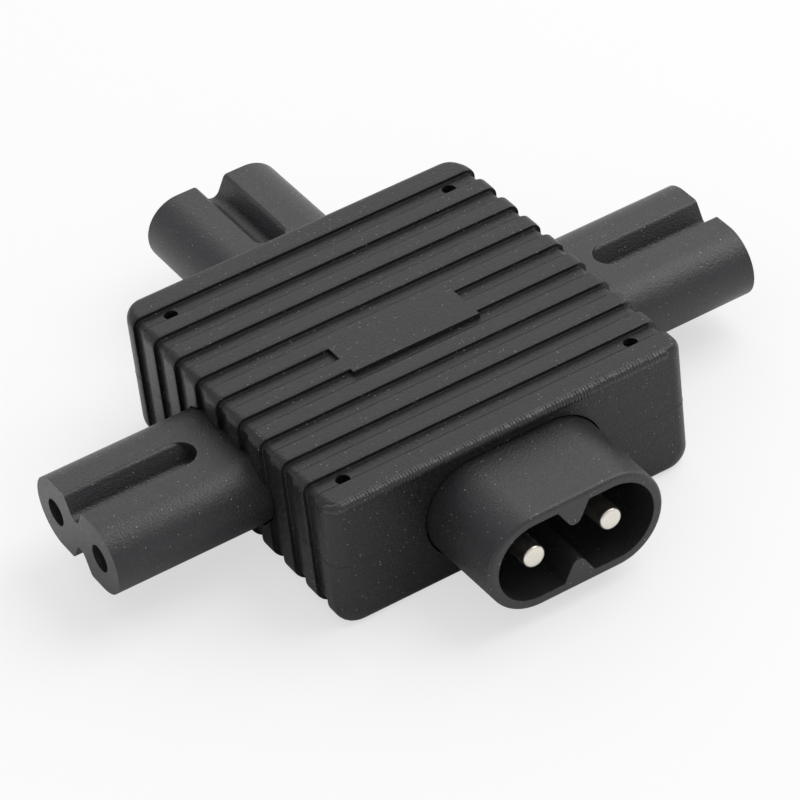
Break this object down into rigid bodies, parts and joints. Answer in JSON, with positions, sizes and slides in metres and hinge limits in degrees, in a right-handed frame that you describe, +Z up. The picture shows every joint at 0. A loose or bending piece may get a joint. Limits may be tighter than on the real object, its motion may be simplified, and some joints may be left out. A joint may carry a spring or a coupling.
{
  "type": "power cord splitter",
  "caption": "Ribbed black power cord splitter: a keyed figure-8 inlet with two pins on the front and figure-8 outlet noses on the left, right and back.",
  "frame": {"origin": "bottom centre of the whole splitter's footprint, on the surface that it lies on", "axes": "+X to the right outlet, along the ribs; +Y to the back outlet, away from the inlet; +Z up"},
  "size_m": [0.073, 0.0672, 0.0148],
  "materials": {
    "soft_black": "satin soft PVC, moulded",
    "insert_black": "fine matte",
    "core_black": "plain moulded",
    "nickel_plate": "bright nickel plate",
    "brass": "plain stamped",
    "fibre_sheet": "plain sheet"
  },
  "bodies": {
    "root": {"body_overmould": "soft_black", "contact_retainer_back": "core_black", "contact_retainer_left": "core_black", "contact_retainer_right": "core_black", "core_lid": "core_black", "core_tray": "core_black", "inlet_pin_live": "nickel_plate", "inlet_pin_neutral": "nickel_plate", "inlet_shroud": "insert_black", "live_strip": "brass", "neutral_strip": "brass", "outlet_nose_back": "insert_black", "outlet_nose_left": "insert_black", "outlet_nose_right": "insert_black", "socket_contact_back_live": "brass", "socket_contact_back_neutral": "brass", "socket_contact_left_live": "brass", "socket_contact_left_neutral": "brass", "socket_contact_right_live": "brass", "socket_contact_right_neutral": "brass", "strip_separator": "fibre_sheet"}
  },
  "joints": []
}
